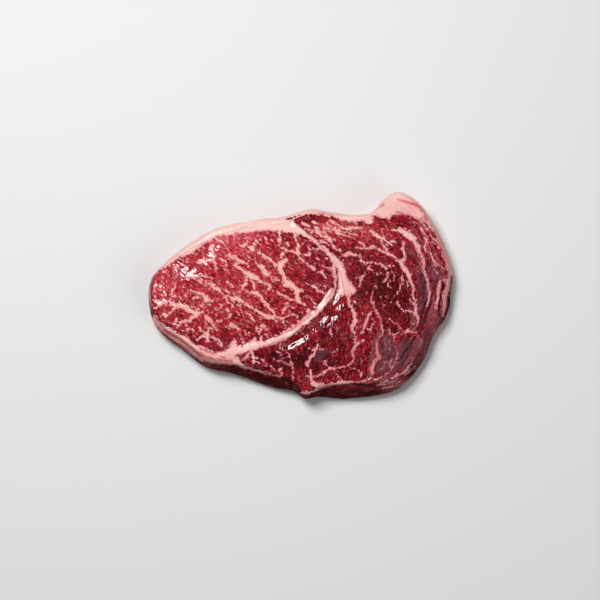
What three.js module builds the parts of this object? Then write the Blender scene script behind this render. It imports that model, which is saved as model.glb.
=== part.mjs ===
// A raw rib steak, boneless and richly marbled, lying flat with its cut face up.
// Millimetres, +Z up, +X towards the blunt end, +Y towards the fat cap.
// The origin is on the surface that the steak lies on, under the middle of its outline.
// The steak is one piece of flesh and fat, so it is one closed skin of rings:
// out from the middle of the cut face, over the rim, down the wall and in under the foot.
import * as THREE from "three";
import { mergeVertices } from "three/addons/utils/BufferGeometryUtils.js";

// Driving dimensions.
const THICKNESS = 23; // underside to cut face, over the middle
const CUT_ROUND = 3.2; // roll of the cut edge
const BLUNT_ROUND = 9; // roll of the blunt right-hand end, which slumps
const BLUNT_DROP = 0.8; // how far that roll falls, as a share of its width
const FOOT_ROUND = 2.6; // roll of the lower edge
const WALL_BULGE = 1.5; // how far the wall swells between its two edges
const SPACING = 2.45; // distance between neighbouring vertices
const FACE_RINGS = 25; // rings across the cut face
const ROLL_RINGS = 4; // rings over the rolled cut edge
const WALL_RINGS = 6; // rings down the wall
const FOOT_RINGS = 2; // rings round the lower edge
const UNDER_SHARES = [0.8, 0.5, 0.2]; // rings of the flat underside
const MIDDLE = new THREE.Vector3(2, -2, 0); // where the rings start

// The blunt end rolls off over these stretches of the plan: from none to full.
const BLUNT_ALONG_X = [62, 80];
const BLUNT_ALONG_Y = [52, 36];

// The outline, anticlockwise from the blunt end: X and Y of the rim of the cut face,
// then of the foot of the wall under it. The knife leant, so the wall shows along the lower side
// and is undercut along the upper one.
const OUTLINE = [
  [86.8, 13, 86, 11], [82.5, 28, 81.5, 26], [73.5, 45.5, 72.5, 43], [64.5, 55.7, 63.5, 53],
  // The knob of hard fat, and the hollow beside it.
  [55.5, 59.3, 55, 56.3], [49, 55.5, 48.5, 52.5], [42, 48, 41.5, 45], [33, 46, 32.5, 43],
  // The fat cap along the back of the eye.
  [20, 47.2, 19.5, 44.2], [6, 49.3, 5.5, 46.3], [-10, 45.3, -10.5, 42.3], [-30, 42.6, -30, 39.6],
  [-50, 37.8, -49.5, 35], [-66, 28.4, -65, 25.8], [-80, 17, -79, 15],
  // The round end of the eye, and the thin fat below it.
  [-86.6, 8, -86, 6], [-87, -4, -86.8, -6.5], [-82.5, -16, -83, -19.5], [-68, -27, -69.5, -31],
  [-54, -37, -56, -41.5], [-36, -40.5, -38, -46.5], [-16, -46, -16.5, -54], [-4, -51, -4, -56],
  // The small pointed tail, and the long curve back up to the blunt end.
  [2.5, -57, 2.5, -59.8], [9, -53.7, 9.5, -59.6], [27, -51.5, 27, -60.5], [44, -51.3, 44, -58.6],
  [56, -47.5, 57, -54.3], [67, -36.5, 69.8, -40.5], [74, -22, 76, -26],
  // The thin flap of fat that hangs down beside the blunt end.
  [77.8, -16.8, 79, -19.5], [82.2, -12, 82.6, -14], [84.4, -6, 84.8, -8], [85.6, 4, 85.6, 2],
];

// Broad rises and dips of the cut face: middle, reach along X and Y, height.
const SWELLS = [
  { name: "eye of the rib", at: [-34, 4], reach: [40, 24], rise: 1.1 },
  { name: "sunken tip of the eye", at: [-84, 6], reach: [15, 22], rise: -3.2 },
  { name: "fat junction", at: [26, 5], reach: [7, 9], rise: -1.0 },
  { name: "lower muscle", at: [17, -19], reach: [12, 15], rise: 1.5 },
  { name: "pocket in the lower muscle", at: [12, -36], reach: [5, 6], rise: -0.8 },
  { name: "crown of the cap", at: [48, 14], reach: [17, 20], rise: 0.9 },
  { name: "slumped blunt end", at: [84, -4], reach: [15, 44], rise: -4.6 },
  { name: "thin lower corner", at: [62, -42], reach: [17, 14], rise: -2.4 },
  { name: "knob of fat", at: [56, 51], reach: [9, 7], rise: 1.2 },
];

// Seams where one muscle meets the next: half width, depth (below 0 stands proud), route.
const SEAMS = [
  { name: "band round the eye", half: 2.6, depth: -0.7,
    route: [[-3, 39], [9, 31], [18, 20], [20, 8], [16, -5], [4, -18], [-10, -26], [-30, -31], [-46, -36]] },
  { name: "cleft beside the band", half: 1.5, depth: 1.3, route: [[20.5, 17], [21.5, 9], [20, 0], [17, -5]] },
  { name: "shelf below the band", half: 2.2, depth: 1.2, route: [[13, -11], [4, -21], [-8, -28.5]] },
  { name: "seam down from the junction", half: 2.0, depth: 0.7, route: [[28, -2], [30, -13], [31, -24]] },
  { name: "edge of the lower muscle", half: 2.2, depth: 1.1,
    route: [[33, -1], [42, -10], [46.5, -20], [43, -34], [41, -48]] },
  { name: "inner seam of the cap", half: 2.2, depth: 0.8, route: [[36, 28], [52, 22], [61, 11], [66, -6], [66, -21]] },
  { name: "outer seam of the cap", half: 2.4, depth: 1.0, route: [[55, 38], [66, 29], [71, 14], [74, 0], [70, -20]] },
  { name: "crease of the blunt end", half: 2.0, depth: 1.6, route: [[79, 0], [75, -14], [68, -28], [59, -38]] },
  { name: "gap behind the flap", half: 1.6, depth: 1.8, route: [[82, 10], [81.3, 2], [79.8, -6]] },
];

// From 0 at one value to 1 at the other, which may be the lower one.
function smoothstep([none, full], value) {
  const share = THREE.MathUtils.clamp((value - none) / (full - none), 0, 1);
  return share * share * (3 - 2 * share);
}

const closedCurve = (points) => new THREE.CatmullRomCurve3(points, true, "centripetal");
const rim = closedCurve(OUTLINE.map(([x, y]) => new THREE.Vector3(x, y, 0)));
const foot = closedCurve(OUTLINE.map(([, , x, y]) => new THREE.Vector3(x, y, 0)));
rim.arcLengthDivisions = 1200;
const RIM_LENGTH = rim.getLength();

for (const seam of SEAMS) {
  const line = new THREE.CatmullRomCurve3(seam.route.map(([x, y]) => new THREE.Vector3(x, y, 0)));
  seam.points = line.getSpacedPoints(Math.ceil(line.getLength() / SPACING));
}

// How far a point of the plan lies from a seam.
function distanceTo(seam, point) {
  const nearest = new THREE.Vector3();
  let least = Infinity;
  for (let i = 1; i < seam.points.length; i++) {
    new THREE.Line3(seam.points[i - 1], seam.points[i]).closestPointToPoint(point, true, nearest);
    least = Math.min(least, nearest.distanceTo(point));
  }
  return least;
}

// The height of the cut face over a point of the plan.
function faceHeight(x, y) {
  let height = THICKNESS;
  for (const { at, reach, rise } of SWELLS)
    height += rise * Math.exp(-(((x - at[0]) / reach[0]) ** 2) - ((y - at[1]) / reach[1]) ** 2);
  const point = new THREE.Vector3(x, y, 0);
  for (const seam of SEAMS) height -= seam.depth * Math.exp(-((distanceTo(seam, point) / seam.half) ** 2));
  return height;
}

// What the wall needs to know at one share of the way round the rim.
function station(round) {
  const edge = rim.getPointAt(round % 1);
  const tangent = rim.getTangentAt(round % 1);
  const out = new THREE.Vector3(tangent.y, -tangent.x, 0);
  const lean = foot.getPoint(rim.getUtoTmapping(round % 1)).sub(edge);
  const blunt = smoothstep(BLUNT_ALONG_X, edge.x) * smoothstep(BLUNT_ALONG_Y, edge.y);
  const roll = THREE.MathUtils.lerp(CUT_ROUND, BLUNT_ROUND, blunt);
  const fall = roll * THREE.MathUtils.lerp(1, BLUNT_DROP, blunt);
  const inward = MIDDLE.clone().sub(edge).normalize();
  const shoulder = edge.clone().addScaledVector(inward, roll);
  return { edge, out, inward, lean, fall, shoulder };
}

// A point of the cut face, at a share of the way out from its middle to where the rim starts to roll.
function facePoint(round, share) {
  const point = MIDDLE.clone().lerp(station(round).shoulder, share);
  return point.setZ(faceHeight(point.x, point.y));
}

// A point of the rolled cut edge, 0 on the face and 1 on the wall.
function rollPoint(round, share) {
  const { edge, shoulder, fall } = station(round);
  const angle = (share * Math.PI) / 2;
  const point = shoulder.clone().lerp(edge, Math.sin(angle));
  return point.setZ(faceHeight(shoulder.x, shoulder.y) - fall * (1 - Math.cos(angle)));
}

// A point of the wall, 0 under the rolled edge and 1 where the foot starts to roll.
function wallPoint(round, share) {
  const { edge, out, lean } = station(round);
  const top = rollPoint(round, 1).z;
  const swell = WALL_BULGE * Math.sin(share * Math.PI);
  const point = edge.clone().addScaledVector(lean, share).addScaledVector(out, swell);
  return point.setZ(THREE.MathUtils.lerp(top, FOOT_ROUND, share));
}

// A point of the rolled foot, 0 on the wall and 1 on the flat underside.
function footPoint(round, share) {
  const angle = (share * Math.PI) / 2;
  const wall = wallPoint(round, 1);
  const point = wall.clone().addScaledVector(station(round).inward, FOOT_ROUND * (1 - Math.cos(angle)));
  return point.setZ(FOOT_ROUND * (1 - Math.sin(angle)));
}

// A point of the flat underside, at a share of the way out from its middle.
const underPoint = (round, share) => new THREE.Vector3(MIDDLE.x, MIDDLE.y, 0).lerp(footPoint(round, 1), share);

// One ring of points, as many as its length needs.
function ring(place, share, lengthShare) {
  const count = Math.max(6, Math.round((RIM_LENGTH * lengthShare) / SPACING));
  return Array.from({ length: count }, (_, i) => place(i / count, share));
}

const steps = (count) => Array.from({ length: count }, (_, i) => (i + 1) / count);

const rings = [
  [new THREE.Vector3(MIDDLE.x, MIDDLE.y, faceHeight(MIDDLE.x, MIDDLE.y))],
  ...steps(FACE_RINGS).map((share) => ring(facePoint, share, share)),
  ...steps(ROLL_RINGS).map((share) => ring(rollPoint, share, 1)),
  ...steps(WALL_RINGS).map((share) => ring(wallPoint, share, 1)),
  ...steps(FOOT_RINGS).map((share) => ring(footPoint, share, 1)),
  ...UNDER_SHARES.map((share) => ring(underPoint, share, share * share)),
  [new THREE.Vector3(MIDDLE.x, MIDDLE.y, 0)],
];

// Joins two rings with triangles. The ring that is less far round takes the next step.
function zip(upper, lower, triangles) {
  const upperSteps = upper.length > 1 ? upper.length : 0;
  const lowerSteps = lower.length > 1 ? lower.length : 0;
  let i = 0;
  let j = 0;
  while (i < upperSteps || j < lowerSteps) {
    const here = [upper[i % upper.length], lower[j % lower.length]];
    const stepUpper = j === lowerSteps || (i < upperSteps && (i + 1) / upperSteps <= (j + 1) / lowerSteps);
    if (stepUpper) i++;
    else j++;
    triangles.push(...here, stepUpper ? upper[i % upper.length] : lower[j % lower.length]);
  }
}

function steakGeometry() {
  const triangles = [];
  for (let i = 1; i < rings.length; i++) zip(rings[i - 1], rings[i], triangles);
  const geometry = mergeVertices(new THREE.BufferGeometry().setFromPoints(triangles), 1e-4);
  // The outline's middle goes over the origin, and the underside on the ground.
  geometry.computeBoundingBox();
  const middle = geometry.boundingBox.getCenter(new THREE.Vector3());
  geometry.translate(-middle.x, -middle.y, -geometry.boundingBox.min.z);
  geometry.computeVertexNormals();
  return geometry;
}

const rawBeef = new THREE.MeshStandardMaterial({ color: "#a3303c", roughness: 0.32, metalness: 0 });
const steak = new THREE.Mesh(steakGeometry(), rawBeef);
steak.name = "steak";

const group = new THREE.Group();
group.add(steak);
export default group;
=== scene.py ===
import functools
import math
import bmesh
import bpy
import numpy as np
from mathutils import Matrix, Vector, noise


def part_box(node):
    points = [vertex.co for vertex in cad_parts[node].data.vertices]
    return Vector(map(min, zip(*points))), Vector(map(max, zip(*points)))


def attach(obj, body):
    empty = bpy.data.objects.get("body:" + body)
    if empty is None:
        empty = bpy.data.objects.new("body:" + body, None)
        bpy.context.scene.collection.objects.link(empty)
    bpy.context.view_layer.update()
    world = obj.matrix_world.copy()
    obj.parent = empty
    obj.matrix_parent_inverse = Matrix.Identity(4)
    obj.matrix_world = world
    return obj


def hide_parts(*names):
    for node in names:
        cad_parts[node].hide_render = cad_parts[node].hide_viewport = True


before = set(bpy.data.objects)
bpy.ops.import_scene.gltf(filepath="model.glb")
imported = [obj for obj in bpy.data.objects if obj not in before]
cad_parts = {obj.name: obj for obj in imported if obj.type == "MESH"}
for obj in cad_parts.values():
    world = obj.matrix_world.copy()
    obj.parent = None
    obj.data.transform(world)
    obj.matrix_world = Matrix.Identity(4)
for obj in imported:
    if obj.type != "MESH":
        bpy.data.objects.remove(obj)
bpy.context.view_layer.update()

mm = 0.001

steak = {
    "thickness": 23.0,      # underside to cut face
    "cutRound": 3.2,        # roll of the cut edge
    "bluntRound": 9.0,      # roll of the blunt right-hand end
    "bluntDrop": 0.8,       # fall of that end, as a share of its roll
    "bluntAlongX": (62, 80),  # where the blunt roll comes in, going right
    "bluntAlongY": (52, 36),  # and coming down from the knob
    "footRound": 2.6,       # roll under the foot of the wall
    "wallBulge": 1.5,
    "middle": (2, -2),      # all rings close in on this point
    "spanSteps": 60,        # steps of the curve between two points of the outline
    "around": 520,          # vertices round the outline before the remesh
    "faceRings": 60,        # rings from the middle to the shoulder
    "rollRings": 6,
    "wallRings": 12,
    "footRings": 4,
    "underShares": (0.85, 0.7, 0.55, 0.4, 0.25, 0.1),  # rings of the underside, as shares of the way out
    "voxel": 0.6,           # mm between vertices after the remesh
    "underBelow": 0.3,      # the underside lies lower than this
    "underNormal": -0.95,   # and looks down at least so far
    "underThinned": 2,      # rounds of thinning of its grid
    # x and y of the rim, then of the foot under it, anticlockwise from the blunt end
    "outline": [
        (86.8, 13, 86, 11), (82.5, 28, 81.5, 26), (73.5, 45.5, 72.5, 43), (64.5, 55.7, 63.5, 53),
        (55.5, 59.3, 55, 56.3), (49, 55.5, 48.5, 52.5), (42, 48, 41.5, 45), (33, 46, 32.5, 43),
        (20, 47.2, 19.5, 44.2), (6, 49.3, 5.5, 46.3), (-10, 45.3, -10.5, 42.3), (-30, 42.6, -30, 39.6),
        (-50, 37.8, -49.5, 35), (-66, 28.4, -65, 25.8), (-80, 17, -79, 15), (-86.6, 8, -86, 6),
        (-87, -4, -86.8, -6.5), (-82.5, -16, -83, -19.5), (-68, -27, -69.5, -31), (-54, -37, -56, -41.5),
        (-36, -40.5, -38, -46.5), (-16, -46, -16.5, -54), (-4, -51, -4, -56), (2.5, -57, 2.5, -59.8),
        (9, -53.7, 9.5, -59.6), (27, -51.5, 27, -60.5), (44, -51.3, 44, -58.6), (56, -47.5, 57, -54.3),
        (67, -36.5, 69.8, -40.5), (74, -22, 76, -26), (77.8, -16.8, 79, -19.5), (82.2, -12, 82.6, -14),
        (84.4, -6, 84.8, -8), (85.6, 4, 85.6, 2),
    ],
    # broad rises and dips: middle, reach, height
    "swells": [
        ((-34, 4), (40, 24), 1.1), ((-84, 6), (15, 22), -3.2), ((26, 5), (7, 9), -1),
        ((17, -19), (12, 15), 1.5), ((12, -36), (5, 6), -.8), ((48, 14), (17, 20), .9),
        ((84, -4), (15, 44), -4.6), ((62, -42), (17, 14), -2.4), ((56, 51), (9, 7), 1.2),
    ],
    # low lumps on top of those
    "lumps": [
        ((-79, 22), (12, 11), -1.8), ((-64, 8), (7, 7), .5), ((-50, 17), (6, 5), .5),
    ],
    # seams between the muscles: half width, depth (below 0 stands proud), route
    "seams": [
        (2.6, -.7, [(-3, 39), (9, 31), (18, 20), (20, 8), (16, -5), (4, -18), (-10, -26), (-30, -31),
            (-46, -36)]),
        (1.5, 1.3, [(20.5, 17), (21.5, 9), (20, 0), (17, -5)]),
        (2.2, 1.2, [(13, -11), (4, -21), (-8, -28.5)]),
        (2, .7, [(28, -2), (30, -13), (31, -24)]),
        (2.2, 1.1, [(33, -1), (42, -10), (46.5, -20), (43, -34), (41, -48)]),
        (2.2, .8, [(36, 28), (52, 22), (61, 11), (66, -6), (66, -21)]),
        (2.4, 1, [(55, 38), (66, 29), (71, 14), (74, 0), (70, -20)]),
        (2, 1.6, [(79, 0), (75, -14), (68, -28), (59, -38)]),
        (1.6, 1.8, [(82, 10), (81.3, 2), (79.8, -6)]),
    ],
}


def smoothStep(low, high, value):
    share = np.clip((value - low) / (high - low), 0, 1)
    return share * share * (3 - 2 * share)


# 1 in the middle, falling away over the reach in x and y
def bell(xy, middle, reach):
    return np.exp(-(((xy - middle) / reach) ** 2).sum(axis=1))


# centripetal curve through the points, with so many steps to a span
def curveThrough(points, closed=False, steps=12):
    p = np.array(points, float)
    if closed:
        p = np.vstack([p[-1], p, p[0], p[1]])
    else:
        p = np.vstack([2 * p[0] - p[1], p, 2 * p[-1] - p[-2]])
    share = np.arange(steps)[:, None] / steps
    spans = []
    for a, b, c, d in zip(p, p[1:], p[2:], p[3:]):
        before, here, after = (max(math.dist(u[:2], v[:2]), 1e-6) ** 0.5 for u, v in ((a, b), (b, c), (c, d)))
        leave = here * ((b - a) / before - (c - a) / (before + here) + (c - b) / here)
        arrive = here * ((c - b) / here - (d - b) / (here + after) + (d - c) / after)
        square = -3 * b + 3 * c - 2 * leave - arrive
        cube = 2 * b - 2 * c + leave + arrive
        spans.append(b + leave * share + square * share ** 2 + cube * share ** 3)
    return np.vstack(spans + ([] if closed else [p[-2][None]]))


# how far along a route each of its points is
def lengthsAlong(route):
    return np.concatenate([[0], np.cumsum(np.hypot(*np.diff(route[:, :2], axis=0).T))])


# a lone fleck is drawn out down to the right: x, y and last width, as shares of its width
fleckTail = (0.9, -0.6, 0.4)


# depth inside strokes of (x, y, width): above 0 inside, below 0 outside, in mm
def strokeDepth(xy, strokes, least=-6.0):
    depth = np.full(len(xy), least)
    for stroke in strokes:
        ends = stroke
        if len(stroke) == 1:
            x, y, width = stroke[0]
            tailX, tailY, tailWidth = (share * width for share in fleckTail)
            ends = [(x, y, width), (x + tailX, y + tailY, tailWidth)]
        for (ax, ay, aw), (bx, by, bw) in zip(ends, ends[1:]):
            reach = max(aw, bw) / 2 - least
            near = np.nonzero((xy[:, 0] > min(ax, bx) - reach) & (xy[:, 0] < max(ax, bx) + reach)
                              & (xy[:, 1] > min(ay, by) - reach) & (xy[:, 1] < max(ay, by) + reach))[0]
            if not len(near):
                continue
            along = np.array([bx - ax, by - ay])
            off = xy[near] - (ax, ay)
            share = np.clip(off @ along / max(along @ along, 1e-9), 0, 1)
            gap = np.hypot(*(off - share[:, None] * along).T)
            depth[near] = np.maximum(depth[near], (aw + (bw - aw) * share) / 2 - gap)
    return depth


# depth inside a closed line of (x, y)
def areaDepth(xy, corners):
    line = [(x, y, 0) for x, y in corners]
    gap = -strokeDepth(xy, [line + line[:1]], -8.0)
    inside = np.zeros(len(xy), bool)
    for (ax, ay, _), (bx, by, _) in zip(line, line[1:] + line[:1]):
        if ay != by:
            crosses = (xy[:, 1] < ay) != (xy[:, 1] < by)
            inside ^= crosses & (xy[:, 0] < ax + (xy[:, 1] - ay) * (bx - ax) / (by - ay))
    return np.where(inside, gap, -gap)


seams = [(half, depth, [(x, y, 0) for x, y in curveThrough(route, steps=6)])
         for half, depth, route in steak["seams"]]


def faceHeight(xy):
    height = np.full(len(xy), steak["thickness"])
    for spot, reach, rise in steak["swells"] + steak["lumps"]:
        height += rise * bell(xy, spot, reach)
    for half, depth, route in seams:
        height -= depth * np.exp(-(strokeDepth(xy, [route]) / half) ** 2)
    return height


# The outline is walked in even steps, which gives the rim and the foot under it point by point.
outline = curveThrough(steak["outline"], closed=True, steps=steak["spanSteps"])
outline = np.vstack([outline, outline[0]])
lengths = lengthsAlong(outline)
evenly = np.linspace(0, lengths[-1], steak["around"], endpoint=False)
walked = np.stack([np.interp(evenly, lengths, column) for column in outline.T], axis=1)
edge, foot = np.split(walked, 2, axis=1)
middle = np.array(steak["middle"], float)
tangent = np.roll(edge, -1, axis=0) - np.roll(edge, 1, axis=0)
out = np.stack([tangent[:, 1], -tangent[:, 0]], axis=1) / np.hypot(*tangent.T)[:, None]
inward = (middle - edge) / np.hypot(*(middle - edge).T)[:, None]
blunt = smoothStep(*steak["bluntAlongX"], edge[:, 0]) * smoothStep(*steak["bluntAlongY"], edge[:, 1])
roll = steak["cutRound"] + (steak["bluntRound"] - steak["cutRound"]) * blunt
fall = roll * (1 + (steak["bluntDrop"] - 1) * blunt)
shoulder = edge + inward * roll[:, None]
shoulderHeight = faceHeight(shoulder)


def faceRing(share):
    xy = middle + (shoulder - middle) * share
    return np.column_stack([xy, faceHeight(xy)])


def rollRing(share):
    xy = shoulder + (edge - shoulder) * math.sin(share * math.pi / 2)
    return np.column_stack([xy, shoulderHeight - fall * (1 - math.cos(share * math.pi / 2))])


def wallRing(share):
    xy = edge + (foot - edge) * share + out * steak["wallBulge"] * math.sin(share * math.pi)
    top = shoulderHeight - fall
    return np.column_stack([xy, top + (steak["footRound"] - top) * share])


def footRing(share):
    turn = share * math.pi / 2
    xy = foot + inward * steak["footRound"] * (1 - math.cos(turn))
    return np.column_stack([xy, np.full(len(xy), steak["footRound"] * (1 - math.sin(turn)))])


def underRing(share):
    xy = middle + (footRing(1)[:, :2] - middle) * share
    return np.column_stack([xy, np.zeros(len(xy))])


# One ring is extruded from the middle of the face over the rim and in under the foot.
def bareForm():
    places = []
    for name, ringAt in (("faceRings", faceRing), ("rollRings", rollRing), ("wallRings", wallRing),
                         ("footRings", footRing)):
        places += [ringAt((i + 1) / steak[name]) for i in range(steak[name])]
    places += [underRing(share) for share in steak["underShares"]]
    bm = bmesh.new()
    turn = bm.verts.layers.int.new("turn")
    ring = bmesh.ops.create_circle(bm, segments=steak["around"], radius=1)["verts"]
    for i, vert in enumerate(ring):
        vert[turn] = i
    first = set(ring)
    edges = list(bm.edges)
    for n, place in enumerate(places):
        if n:
            grown = bmesh.ops.extrude_edge_only(bm, edges=edges)["geom"]
            ring = [g for g in grown if isinstance(g, bmesh.types.BMVert)]
            edges = [g for g in grown if isinstance(g, bmesh.types.BMEdge) and g.is_boundary]
        for vert in ring:
            vert.co = place[vert[turn]] * mm
    bmesh.ops.contextual_create(bm, geom=[e for e in bm.edges if e.is_boundary and e.verts[0] in first])
    bmesh.ops.contextual_create(bm, geom=[e for e in bm.edges if e.is_boundary])
    bmesh.ops.recalc_face_normals(bm, faces=bm.faces)
    mesh = bpy.data.meshes.new("steakForm")
    bm.to_mesh(mesh)
    bm.free()
    return mesh


# the modifiers' result becomes the object's own mesh
def settle(obj):
    seen = obj.evaluated_get(bpy.context.evaluated_depsgraph_get())
    mesh = bpy.data.meshes.new_from_object(seen)
    obj.modifiers.clear()
    obj.data = mesh


piece = bpy.data.objects.new("beef_steak", bareForm())
bpy.context.scene.collection.objects.link(piece)
remesh = piece.modifiers.new("even skin", "REMESH")
remesh.mode = "VOXEL"
remesh.voxel_size = steak["voxel"] * mm
settle(piece)
print("steak: remeshed to", len(piece.data.vertices), "vertices")

# The underside is flat, so a coarser grid does there.
bm = bmesh.new()
bm.from_mesh(piece.data)
under = [v for v in bm.verts if v.co.z < steak["underBelow"] * mm
         and all(f.normal.z < steak["underNormal"] for f in v.link_faces)]
bmesh.ops.unsubdivide(bm, verts=under, iterations=steak["underThinned"])
bm.to_mesh(piece.data)
bm.free()
print("steak: thinned to", len(piece.data.vertices), "vertices")


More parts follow.
